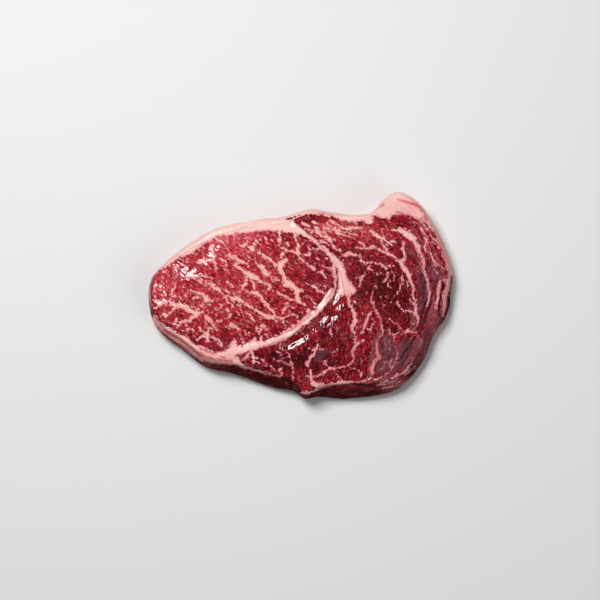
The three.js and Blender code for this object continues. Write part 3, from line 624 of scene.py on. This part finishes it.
# Places where thin strips of fat run through the flesh along the rim: middle, reach, amount.
streakPlaces = [
    ((70, 32), (8, 14), 1), ((78, 10), (6, 16), 1), ((77, -14), (4, 10), 1), ((71, -30), (5, 8), 1),
    ((56, -52), (16, 5), 1), ((24, 39), (14, 4), .5), ((-62, -36), (22, 7), .5),
]


# How the marbling is laid on the mesh and stands out from it.
relief = {
    # upward part of the normal between which wall turns into face, and relief comes in
    "faceUp": (0.45, 0.85),
    "reliefUp": (-0.3, 0.3),
    # wall that reads as the cut face all the same, so the painted wall shade stays off it: middle, reach,
    # amount
    "faceOnWall": [((-88, 2), (9, 13), 0.8), ((77, -22), (7, 15), 0.7), ((55, -50.5), (9, 3.5), 0.8)],
    # the back, where the wall follows the rim: by share of face, by y, then mm moved, mm across, seed
    "behindFace": (0.6, 0.2),
    "behindY": (4, 32),
    "behindBend": (7, 4, 13),
    "stainBehind": -4,
    # bends of the plan: mm moved, mm across, seeds in x and y
    "bends": [(0.45, 3.2, 3, 17), (0.38, 1.3, 29, 41)],
    # tones: even part, change, mm across, seed
    "fleshTone": (0.29, 0.05, 9, 5),
    "fatTone": (0.35, 0.1, 6, 7),
    # how tone widens fat: mm to a tone, even tone, most mm either way
    "fatByTone": (0.5, 0.35, 0.2),
    # noise: height, mm across, seed
    "lumps": [(0.2, 9, 61), (0.07, 3.5, 71)],
    "wetLumps": [(0.3, 3.4, 53), (0.08, 1.5, 59)],
    "wallLumps": [(0.35, 6, 83), (0.12, 2, 97)],
    "fatHeight": 0.12,
    "fatEdge": (-0.4, 0.8),
    "creaseDepth": 0.75,
    "creaseEdge": (-0.7, 0.3),
    "overTop": 0.3,               # mm that the lumps may stand over the solid's top
    "lightward": (0.12, -0.195),  # rise per millimetre to the right and up the plan
}


# gives each point of a stroke its own width or that of the next point that has one
def withWidths(stroke):
    width = stroke[-1][2]
    full = []
    for point in reversed(stroke):
        width = point[2] if len(point) > 2 else width
        full.append((point[0], point[1], width))
    return full[::-1]


# the piece's own vertices, in the plan's millimetres
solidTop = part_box("steak")[1].z / mm
allRings = np.vstack([edge, foot, wallRing(0.5)[:, :2]])
planMiddle = (allRings.min(axis=0) + allRings.max(axis=0)) / 2
mesh = piece.data
count = len(mesh.vertices)
co = np.empty(count * 3, np.float32)
mesh.vertices.foreach_get("co", co)
co = co.reshape(-1, 3).astype(float) / mm
normals = np.empty(count * 3, np.float32)
mesh.vertices.foreach_get("normal", normals)
normals = normals.reshape(-1, 3)
xy = co[:, :2]  # a view, so it moves with co


def noiseAt(size, seed):
    return np.array([noise.noise(Vector((x / size, y / size, z / size + seed))) for x, y, z in co])


def noiseSum(layers):
    return sum(height * noiseAt(size, seed) for height, size, seed in layers)


# which point of a route is nearest to each vertex, worked out for so many vertices at a time
def nearestOn(route, batch=20000):
    nearest = np.empty(count, int)
    for start in range(0, count, batch):
        gaps = xy[start:start + batch, None] - route[None]
        nearest[start:start + batch] = (gaps ** 2).sum(axis=2).argmin(axis=1)
    return nearest


# the most that any of the places gives each vertex
def spread(places):
    amount = np.zeros(count)
    for spot, reach, most in places:
        amount = np.maximum(amount, most * bell(xy, spot, reach))
    return amount


# a tone: an even part, soft noise, and what the places add
def toneOf(even, change, size, seed, places):
    tone = even + change * noiseAt(size, seed)
    for spot, reach, added in places:
        tone += added * bell(xy, spot, reach)
    return tone


# The muscles run through, so the underside shows the same cut as the top.
face = smoothStep(*relief["faceUp"], np.abs(normals[:, 2]))
face = np.maximum(face, spread(relief["faceOnWall"]))
# The fat of the back reaches all the way down, so the wall there follows the rim above it.
rimNearest = nearestOn(edge)
moved, size, seed = relief["behindBend"]
behind = smoothStep(*relief["behindY"], xy[:, 1] + moved * noiseAt(size, seed))
behind *= smoothStep(*relief["behindFace"], face)
bent = xy + behind[:, None] * (edge[rimNearest] - xy)
# The strokes were read off the cut face, so the plan is first bent a little, which makes their edges ragged.
for moved, size, seedX, seedY in relief["bends"]:
    bent += moved * np.column_stack([noiseAt(size, seedX), noiseAt(size, seedY)])
fat = strokeDepth(bent, [withWidths(stroke) for group in veins.values() for stroke in group])
for corners in fatAreas.values():
    fat = np.maximum(fat, areaDepth(bent, corners))
crease = strokeDepth(bent, [withWidths(stroke) for stroke in creases])
stain = strokeDepth(bent, [withWidths(stroke) for stroke in stains]) + relief["stainBehind"] * behind
film = np.max([np.minimum(areaDepth(bent, corners), most) for most, corners in films], axis=0)
tone = toneOf(*relief["fleshTone"], fleshTonesAndHighlight)
pale = toneOf(*relief["fatTone"], fatTones)
# light flesh has wider veins
widening, evenTone, most = relief["fatByTone"]
fat += np.clip(widening * (tone - evenTone), -most, most)
print("steak: marbling laid on", count, "vertices")

# relief of the cut face: fat a little proud, flesh softly lumpy, creases open
wet = spread(wetPlaces)
lumps = noiseSum(relief["lumps"]) + wet * noiseSum(relief["wetLumps"])
for spot, reach in leanPlaces:
    corner = faceHeight(np.array([spot, np.add(spot, (1, 0)), np.add(spot, (0, 1))], float))
    turned = np.array(relief["lightward"]) - (corner[1:] - corner[0])
    lumps += bell(xy, spot, reach) * ((xy - spot) @ turned)
rise = lumps + relief["fatHeight"] * smoothStep(*relief["fatEdge"], fat)
rise -= relief["creaseDepth"] * smoothStep(*relief["creaseEdge"], crease)
rise *= face * smoothStep(*relief["reliefUp"], normals[:, 2])
rise += (1 - face) * noiseSum(relief["wallLumps"]) * smoothStep(0, 2, co[:, 2])
co += normals * rise[:, None]
co[:, :2] -= planMiddle
co[:, 2] = np.clip(co[:, 2], 0, solidTop + relief["overTop"])
mesh.vertices.foreach_set("co", (co * mm).astype(np.float32).ravel())
mesh.update()

# Fibres run down to the right in the eye, down in the lower muscles, and round in the cap.
fibres = {
    "eyeTurn": -38,         # degrees
    "capCentre": (30, 2),
    "capRadius": 34,        # where a turn round the cap has its true length
    "lowerMuscles": [
        (20, 2), (33, 1), (40.5, -4), (45.5, -14), (47, -22), (44, -25), (43.6, -34), (41, -42), (41, -52),
        (0, -60), (-12, -30), (-15, -26.5), (-8, -22.5), (0, -16.5), (6, -11), (13.5, -4),
    ],
    "capMuscle": [
        (25, 20), (36, 30), (45, 45), (95, 60), (95, -60), (60, -30), (47, -22), (45.5, -14), (40.5, -4),
        (33, -1), (30, 4),
    ],
}


# plan turned so that x runs along the fibres, and how far the next muscle is
def fibreSpace(xy):
    x, y = xy.T
    turn = math.radians(fibres["eyeTurn"])
    eye = (x * math.cos(turn) + y * math.sin(turn), y * math.cos(turn) - x * math.sin(turn))
    lower = (-y, x)
    capX, capY = (xy - fibres["capCentre"]).T
    cap = (np.arctan2(capY, capX) * fibres["capRadius"], np.hypot(capX, capY))
    lowerDepth, capDepth = areaDepth(xy, fibres["lowerMuscles"]), areaDepth(xy, fibres["capMuscle"])
    inLower = smoothStep(-1, 1, lowerDepth)
    inCap = smoothStep(-1, 1, capDepth) * (1 - inLower)
    border = np.where(lowerDepth < 0, np.minimum(-lowerDepth, np.abs(capDepth)), lowerDepth)
    along, across = ((1 - inLower - inCap) * e + inLower * l + inCap * c for e, l, c in zip(eye, lower, cap))
    return along, across, border


# how far along a route each vertex is, and how far to the side of it
def besideRoute(route, nearest):
    return lengthsAlong(route)[nearest], np.hypot(*(xy - route[nearest]).T)


# Fat is laid down in layers, along the rim, along the band round the eye and down the star.
fatLayers = {
    "rimFade": (14, 8),                     # mm from the rim between which they come in
    "faintAt": [((56, 52), (12, 8), 0.7)],  # middle, reach, share taken away, on the knob
    "bandHalf": 4.5,                        # mm to each side of the band's own line
    "bandFromRim": 5,
    "bandOff": 40,                          # keeps the band's layers apart from the rim's
    "starAlong": (0.29, -0.96),
    "starAcross": (0.96, 0.29),
}
along, across, border = fibreSpace(xy)
rimAlong, rimAcross = besideRoute(edge, rimNearest)
nearRim = smoothStep(*fatLayers["rimFade"], rimAcross) * (1 - spread(fatLayers["faintAt"]))
rimAcross -= (1 - face) * (co[:, 2] - steak["thickness"])
# the band's own line is its first two strokes
band = [(x, y, 0) for stroke in veins["band round the eye"][:2] for x, y, width in withWidths(stroke)]
bandRoute = curveThrough(band, steps=30)[:, :2]
bandAlong, bandAcross = besideRoute(bandRoute, nearestOn(bandRoute))
onBand = (bandAcross < fatLayers["bandHalf"]) & (rimAcross > fatLayers["bandFromRim"])
onStar = areaDepth(xy, fatAreas["star where the muscles meet"]) > -1
layerAlong = np.where(onStar, xy @ fatLayers["starAlong"], np.where(onBand, bandAlong, rimAlong))
layerAcross = np.where(onStar, xy @ fatLayers["starAcross"],
                       np.where(onBand, bandAcross + fatLayers["bandOff"], rimAcross))
# what the material reads at each vertex
skin = {
    "fat": fat, "crease": crease, "film": film, "stain": stain, "tone": tone, "pale": pale, "face": face,
    "whole": smoothStep(0.8, 2.2, border),  # 0 along the border of a muscle
    "layered": np.where(onBand | onStar, 1, nearRim),
    "juice": smoothStep(0.2, 1, face) * (1 - spread(dryPlaces)),
    "wet": wet, "streak": spread(streakPlaces),
}
for name, values in skin.items():
    mesh.attributes.new(name, "FLOAT", "POINT").data.foreach_set("value", values.astype(np.float32))
routes = {
    "fibre": np.column_stack([along, across, co[:, 2]]),
    "layers": np.column_stack([layerAlong, layerAcross, co[:, 2] * 0.3]),
}
for name, values in routes.items():
    attribute = mesh.attributes.new(name, "FLOAT_VECTOR", "POINT")
    attribute.data.foreach_set("vector", values.astype(np.float32).ravel())
for polygon in mesh.polygons:
    polygon.use_smooth = True

# Map of the skin, in the unit square: cut face above, underside small below it, walls unrolled in
# rows beside that.
skinMap = {
    "facePlace": (0.01, 0.335), "facePerMm": 0.98 / 180, "faceNormal": 0.5,
    "underPlace": (0.01, 0.01), "underPerMm": 0.46 / 180, "underNormal": -0.6,
    "wallPlace": (0.5, 0.01), "wallRows": 4, "wallAcross": 0.49, "rowHeight": 0.078, "rowMm": 30,
    "margin": 0.01,
}
uv = mesh.uv_layers.new(name="OFBake")
loopVertex = np.empty(len(mesh.loops), np.int32)
mesh.loops.foreach_get("vertex_index", loopVertex)
loopTotals = np.array([len(polygon.vertices) for polygon in mesh.polygons])
upward = np.array([polygon.normal.z for polygon in mesh.polygons])
faceOf = np.repeat(np.arange(len(loopTotals)), loopTotals)
flat = co[loopVertex, :2] - co[:, :2].min(axis=0)
rimLength = rimAlong.max()
rowLength = rimLength / skinMap["wallRows"]
# each wall face goes to the row of its first corner, so none is torn across two rows
firstCorner = np.concatenate([[0], np.cumsum(loopTotals)[:-1]])
start = rimAlong[loopVertex[firstCorner]][faceOf]
row = np.floor(start / rowLength * 0.999)
step = (rimAlong[loopVertex] - start + rimLength / 2) % rimLength - rimLength / 2
rowWidth = skinMap["wallAcross"] - 2 * skinMap["margin"]
wallU = skinMap["margin"] + (start - row * rowLength + step) / rowLength * rowWidth
wallV = (row + co[loopVertex, 2] / skinMap["rowMm"]) * skinMap["rowHeight"]
top, under = upward[faceOf] > skinMap["faceNormal"], upward[faceOf] < skinMap["underNormal"]
onMap = np.where(top[:, None], flat * skinMap["facePerMm"] + skinMap["facePlace"],
                 np.where(under[:, None], flat * skinMap["underPerMm"] + skinMap["underPlace"],
                          np.column_stack([wallU, wallV]) + skinMap["wallPlace"]))
uv.data.foreach_set("uv", onMap.astype(np.float32).ravel())
print("steak: relief, fibres and skin map set")


def linear(hexColour):
    parts = [int(hexColour[i:i + 2], 16) / 255 for i in (1, 3, 5)]
    return [p / 12.92 if p <= 0.04045 else ((p + 0.055) / 1.055) ** 2.4 for p in parts] + [1]


# adds a node and returns one of its outputs: inputs are values or sockets to link from,
# settings go by name, and stops are a ramp's places and colours
def addNode(tree, kind, inputs=None, output=0, stops=(), **settings):
    node = tree.nodes.new("ShaderNode" + kind)
    for name, value in settings.items():
        setattr(node, name, value)
    for name, value in (inputs or {}).items():
        if isinstance(value, bpy.types.NodeSocket):
            tree.links.new(value, node.inputs[name])
        else:
            node.inputs[name].default_value = value
    for i, (place, colour) in enumerate(stops):
        ramp = node.color_ramp.elements
        element = ramp[i] if i < len(ramp) else ramp.new(place)
        element.position = place
        element.color = linear(colour)
    return node.outputs[output] if node.outputs else None


beef = {
    # ramps of colour
    "flesh": [(0, "#3a0208"), (0.25, "#6f0611"), (0.45, "#981220"), (0.65, "#b52a37"), (1, "#cf5c67")],
    # the wall's ramp is dark because it stands for the shade on the sides: painted shade
    "wall": [(0.38, "#1e0206"), (0.55, "#45080f"), (0.72, "#9a4c50")],
    "film": [(0.35, "#3d2129"), (0.75, "#85525c"), (0.9, "#a85f66")],
    "fleck": [(0.1, "#b8444d"), (0.6, "#e2959b")],
    "fat": [(0.12, "#cf7077"), (0.6, "#e8aba8"), (1, "#efc5bb")],
    "strip": "#a85f66",
    "stain": "#bb2c37",
    "crease": "#33050a",
    # noise: what it follows, stretch, mm from cell to cell, detail, roughness, distortion;
    # fibres lie 0.8 mm apart and flecks of fat 1.1 mm, both longer along the grain
    "patterns": {
        "grain": ("fibre", (0.4, 1, 1), 0.8333, 2, 0.5, 0),
        "flecks": ("fibre", (0.6, 1, 0.7), 1.1111, 2, 0.5, 0.8),
        "clusters": ("fibre", (0.6, 1, 0.7), 6.25, 2, 0.5, 0),
        "threads": ("fibre", (0.6, 1, 0.7), 3.3333, 3, 0.5, 0.9),
        "ripples": ("fibre", (0.35, 1, 1), 1.25, 0.5, 0.5, 0),
        "layers": ("layers", (0.08, 0.8, 1), 1, 3, 0.6, 0),
        "ragged": ("place", (1, 1, 1), 1.25, 3, 0.7, 0),
        "mottle": ("place", (1, 1, 1), 4.5455, 3, 0.6, 0),
    },
    # shares: from and to what a value runs, and what it then gives
    "shares": {
        "fleck": (0.805, 0.905, 0, 0.95), "thread": (0.022, 0.004, 0, 0.7), "bundle": (0.42, 0.56, 0, 1),
        "wall": (0, 0.6, 0.85, 0), "strip": (0.47, 0.6, 0, 0.75), "film": (-1.5, 1.8, 0, 0.8),
        "fat": (-0.25, 0.25, 0, 1), "thick": (-0.3, 1.7, 0, 0.6), "wave": (0, 1, -1.1, 1.1),
        "stain": (0.1, 1.6, 0, 0.75), "crease": (-0.6, 0.3, 0, 0.75), "rough": (0, 1, 0.85, 0.38),
        "broken": (0, 1, 0.5, 2),
    },
    # how much one value adds to the next
    "fleshMottle": 0.9, "fleshGrain": 1.3, "fleshShift": 1.135,
    "fleckCluster": 0.3, "fleckTone": 0.12, "wallPatches": 0.8, "wallShadeShift": -0.33, "wallStreak": 0.15,
    "filmStreak": 0.2, "fineCover": -0.6, "veinRagged": 2.6, "veinFlecks": 3.4, "veinShift": 3.0,
    "fatPale": 0.5, "fatUnderFilm": 0.8, "stainRagged": 2.0,
    # gloss and bump
    "ior": 1.4, "specular": 0.05, "coatRoughness": 0.06, "coatIor": 1.38, "roughFat": 0.1,
    "dryFat": 0.55, "juiceDry": -1.1, "bumpFlecks": 1.2, "bumpGrain": 0.8, "bumpMost": 0.5,
    "bumpMm": 0.3, "rippleMm": 0.35,
}


# Raw beef, freshly cut and still wet: deep red flesh under a thin gloss, with opaque, paler, waxy fat.
def rawBeefMaterial():
    material = bpy.data.materials.new("raw marbled beef, wet cut")
    material.use_nodes = True
    material.node_tree.nodes.clear()
    add = functools.partial(addNode, material.node_tree)
    mulAdd = {"operation": "MULTIPLY_ADD"}
    smooth = {"interpolation_type": "SMOOTHSTEP"}
    mix = {"data_type": "RGBA", "output": 2}  # its share is input 0 and its colours are 6 and 7
    limits = {name: dict(zip(("From Min", "From Max", "To Min", "To Max"), ends))
              for name, ends in beef["shares"].items()}
    read = {name: add("Attribute", output="Fac", attribute_name=name) for name in skin}
    follow = {name: add("Attribute", output="Vector", attribute_name=name) for name in routes}
    follow["place"] = add("Mapping", {"Vector": add("TexCoord", output="Object"), "Scale": (1 / mm,) * 3})
    noises = {}
    for name, (route, stretch, size, detail, roughness, distortion) in beef["patterns"].items():
        stretched = add("Mapping", {"Vector": follow[route], "Scale": stretch})
        noises[name] = add("TexNoise", {"Vector": stretched, "Scale": 1 / size, "Detail": detail,
                                        "Roughness": roughness, "Distortion": distortion})
    ragged, flecks, grain, layer = (noises[name] for name in ("ragged", "flecks", "grain", "layers"))

    # flesh by tone, softly mottled and lined by its fibres
    shade = add("Math", {0: noises["mottle"], 1: beef["fleshMottle"], 2: read["tone"]}, **mulAdd)
    shade = add("Math", {0: grain, 1: beef["fleshGrain"], 2: shade}, **mulAdd)
    shade = add("Math", {0: shade, 1: beef["fleshShift"]}, operation="SUBTRACT")
    flesh = add("ValToRGB", {0: shade}, stops=beef["flesh"])
    # flecks of fat come in clusters, more of them where the flesh is light
    crowd = add("Math", {0: noises["clusters"], 1: beef["fleckCluster"], 2: flecks}, **mulAdd)
    crowd = add("Math", {0: read["tone"], 1: beef["fleckTone"], 2: crowd}, **mulAdd)
    fleckShare = add("MapRange", {"Value": crowd, **limits["fleck"]}, **smooth)
    # threads of fat, thinner than a millimetre, along the edges of the muscle bundles
    ridge = add("Math", {0: noises["threads"], 1: 0.5}, operation="SUBTRACT")
    ridge = add("Math", {0: ridge}, operation="ABSOLUTE")
    ridge = add("MapRange", {"Value": ridge, **limits["thread"]})
    threadShare = add("MapRange", {"Value": flecks, **limits["bundle"]})
    threadShare = add("Math", {0: ridge, 1: threadShare}, operation="MULTIPLY")
    # painted shade on the wall: the sides are coloured darker the more they turn from facing up, broken by
    # paler patches and streaks of fat
    patches = add("Math", {0: layer, 1: noises["mottle"]}, operation="ADD")
    patches = add("Math", {0: patches, 1: beef["wallPatches"], 2: beef["wallShadeShift"]}, **mulAdd)
    wallShadeTone = add("Math", {0: read["streak"], 1: beef["wallStreak"], 2: patches}, **mulAdd)
    wall = add("ValToRGB", {0: wallShadeTone}, stops=beef["wall"])
    paintedWallShade = add("MapRange", {"Value": read["face"], **limits["wall"]})
    flesh = add("Mix", {0: paintedWallShade, 6: flesh, 7: wall}, **mix)
    # thin strips of fat between the layers near the rim
    strip = add("MapRange", {"Value": layer, **limits["strip"]}, **smooth)
    strip = add("Math", {0: strip, 1: read["streak"]}, operation="MULTIPLY")
    flesh = add("Mix", {0: strip, 6: flesh, 7: linear(beef["strip"])}, **mix)
    # silverskin dims the flesh under it to mauve, with paler strands
    filmShare = add("MapRange", {"Value": read["film"], **limits["film"]}, **smooth)
    filmTone = add("Math", {0: read["streak"], 1: beef["filmStreak"], 2: layer}, **mulAdd)
    film = add("ValToRGB", {0: filmTone}, stops=beef["film"])
    flesh = add("Mix", {0: filmShare, 6: flesh, 7: film}, **mix)
    fineFat = add("Math", {0: fleckShare, 1: threadShare}, operation="MAXIMUM")
    covered = add("Math", {0: filmShare, 1: paintedWallShade}, operation="ADD")
    fineFat = add("Math", {0: covered, 1: beef["fineCover"], 2: fineFat}, use_clamp=True, **mulAdd)
    fleck = add("ValToRGB", {0: read["tone"]}, stops=beef["fleck"])
    flesh = add("Mix", {0: fineFat, 6: flesh, 7: fleck}, **mix)
    # the veins, with edges made ragged; fat pales as it thickens
    vein = add("Math", {0: ragged, 1: beef["veinRagged"], 2: read["fat"]}, **mulAdd)
    vein = add("Math", {0: flecks, 1: beef["veinFlecks"], 2: vein}, **mulAdd)
    vein = add("Math", {0: vein, 1: beef["veinShift"]}, operation="SUBTRACT")
    fatShare = add("MapRange", {"Value": vein, **limits["fat"]}, **smooth)
    fatTone = add("MapRange", {"Value": vein, **limits["thick"]})
    fatTone = add("Math", {0: read["pale"], 1: beef["fatPale"], 2: fatTone}, **mulAdd)
    wave = add("MapRange", {"Value": layer, **limits["wave"]})
    fatTone = add("Math", {0: wave, 1: read["layered"], 2: fatTone}, **mulAdd)
    fat = add("ValToRGB", {0: fatTone}, stops=beef["fat"])
    underFilm = add("Math", {0: filmShare, 1: beef["fatUnderFilm"]}, operation="MULTIPLY")
    fat = add("Mix", {0: underFilm, 6: fat, 7: linear(beef["strip"])}, **mix)
    stained = add("Math", {0: ragged, 1: beef["stainRagged"], 2: read["stain"]}, **mulAdd)
    stained = add("MapRange", {"Value": stained, **limits["stain"]}, **smooth)
    fat = add("Mix", {0: stained, 6: fat, 7: linear(beef["stain"])}, **mix)
    meat = add("Mix", {0: fatShare, 6: flesh, 7: fat}, **mix)
    # painted shade: the creases are coloured near black for the shade that lies in them
    creaseShare = add("MapRange", {"Value": read["crease"], **limits["crease"]}, **smooth)
    colour = add("Mix", {0: creaseShare, 6: meat, 7: linear(beef["crease"])}, **mix)
    # a film of juice gives the gloss, thinner on the wall; fat under it is duller than flesh
    rough = add("MapRange", {"Value": read["face"], **limits["rough"]})
    rough = add("Math", {0: fatShare, 1: beef["roughFat"], 2: rough}, **mulAdd)
    dry = add("Math", {0: filmShare, 1: creaseShare}, operation="ADD")
    dry = add("Math", {0: fatShare, 1: beef["dryFat"], 2: dry}, **mulAdd)
    juice = add("Math", {0: dry, 1: beef["juiceDry"], 2: read["juice"]}, use_clamp=True, **mulAdd)
    # the flesh is finely uneven, and the juice on it has ripples of its own
    height = add("Math", {0: flecks, 1: beef["bumpFlecks"], 2: ragged}, **mulAdd)
    height = add("Math", {0: grain, 1: beef["bumpGrain"], 2: height}, **mulAdd)
    depth = add("Math", {0: read["whole"], 1: beef["bumpMost"]}, operation="MULTIPLY")
    bump = add("Bump", {"Height": height, "Strength": depth, "Distance": beef["bumpMm"] * mm})
    broken = add("MapRange", {"Value": read["wet"], **limits["broken"]})
    broken = add("Math", {0: broken, 1: depth}, operation="MULTIPLY", use_clamp=True)
    ripple = add("Bump", {"Height": noises["ripples"], "Strength": broken,
                          "Distance": beef["rippleMm"] * mm})
    shader = add("BsdfPrincipled", {
        "Base Color": colour, "Roughness": rough, "Normal": bump, "IOR": beef["ior"],
        "Specular IOR Level": beef["specular"], "Coat Weight": juice, "Coat Normal": ripple,
        "Coat Roughness": beef["coatRoughness"], "Coat IOR": beef["coatIor"]})
    add("OutputMaterial", {"Surface": shader})
    return material


piece.data.materials.clear()
piece.data.materials.append(rawBeefMaterial())
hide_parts("steak")
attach(piece, "root")
print("steak: material on")

# The camera looks straight down, as the picture was taken.
view = {
    "centre": (-0.72, -2.73),  # plan point in the middle of the frame
    "across": 345,             # mm across the frame at the cut face
    "above": 1200,
}
camera = bpy.data.objects.new("camera", bpy.data.cameras.new("camera"))
bpy.context.scene.collection.objects.link(camera)
camera.data.lens = camera.data.sensor_width * view["above"] / view["across"]
cameraX, cameraY = view["centre"] - planMiddle
camera.location = (cameraX * mm, cameraY * mm, (view["above"] + steak["thickness"]) * mm)
bpy.context.scene.camera = camera
print("camera: set")

# Studio: pale floor, one large soft light high on the upper left, fill all round.
studio = {
    "floorHalf": 3,
    "floor": "#dedede",
    "floorRoughness": 0.9,
    "worldStrength": 0.08,
    "lamps": {
        "key": {"at": (-0.3, 0.42, 1.02), "size": 0.34, "watts": 12.5},
        "fill": {"at": (0.9, -0.5, 0.9), "size": 1.0, "watts": 5},
    },
}
bm = bmesh.new()
bmesh.ops.create_grid(bm, x_segments=1, y_segments=1, size=studio["floorHalf"])
floorMesh = bpy.data.meshes.new("floor")
bm.to_mesh(floorMesh)
bm.free()
floor = bpy.data.objects.new("floor", floorMesh)
bpy.context.scene.collection.objects.link(floor)
# matt paper, so nothing but a soft shadow shows on it
paper = bpy.data.materials.new("pale studio paper")
paper.use_nodes = True
paper.node_tree.nodes["Principled BSDF"].inputs["Base Color"].default_value = linear(studio["floor"])
paper.node_tree.nodes["Principled BSDF"].inputs["Roughness"].default_value = studio["floorRoughness"]
floorMesh.materials.append(paper)

for name, lamp in studio["lamps"].items():
    light = bpy.data.objects.new(name, bpy.data.lights.new(name, "AREA"))
    light.data.shape = "SQUARE"
    light.data.size = lamp["size"]
    light.data.energy = lamp["watts"]
    light.location = lamp["at"]
    light.rotation_euler = (-Vector(lamp["at"])).to_track_quat("-Z", "Y").to_euler()
    bpy.context.scene.collection.objects.link(light)

world = bpy.data.worlds.new("studio")
world.use_nodes = True
world.node_tree.nodes["Background"].inputs["Color"].default_value = (1, 1, 1, 1)
world.node_tree.nodes["Background"].inputs["Strength"].default_value = studio["worldStrength"]
bpy.context.scene.world = world
bpy.context.scene.view_settings.view_transform = "Standard"
print("studio: floor and lights set")
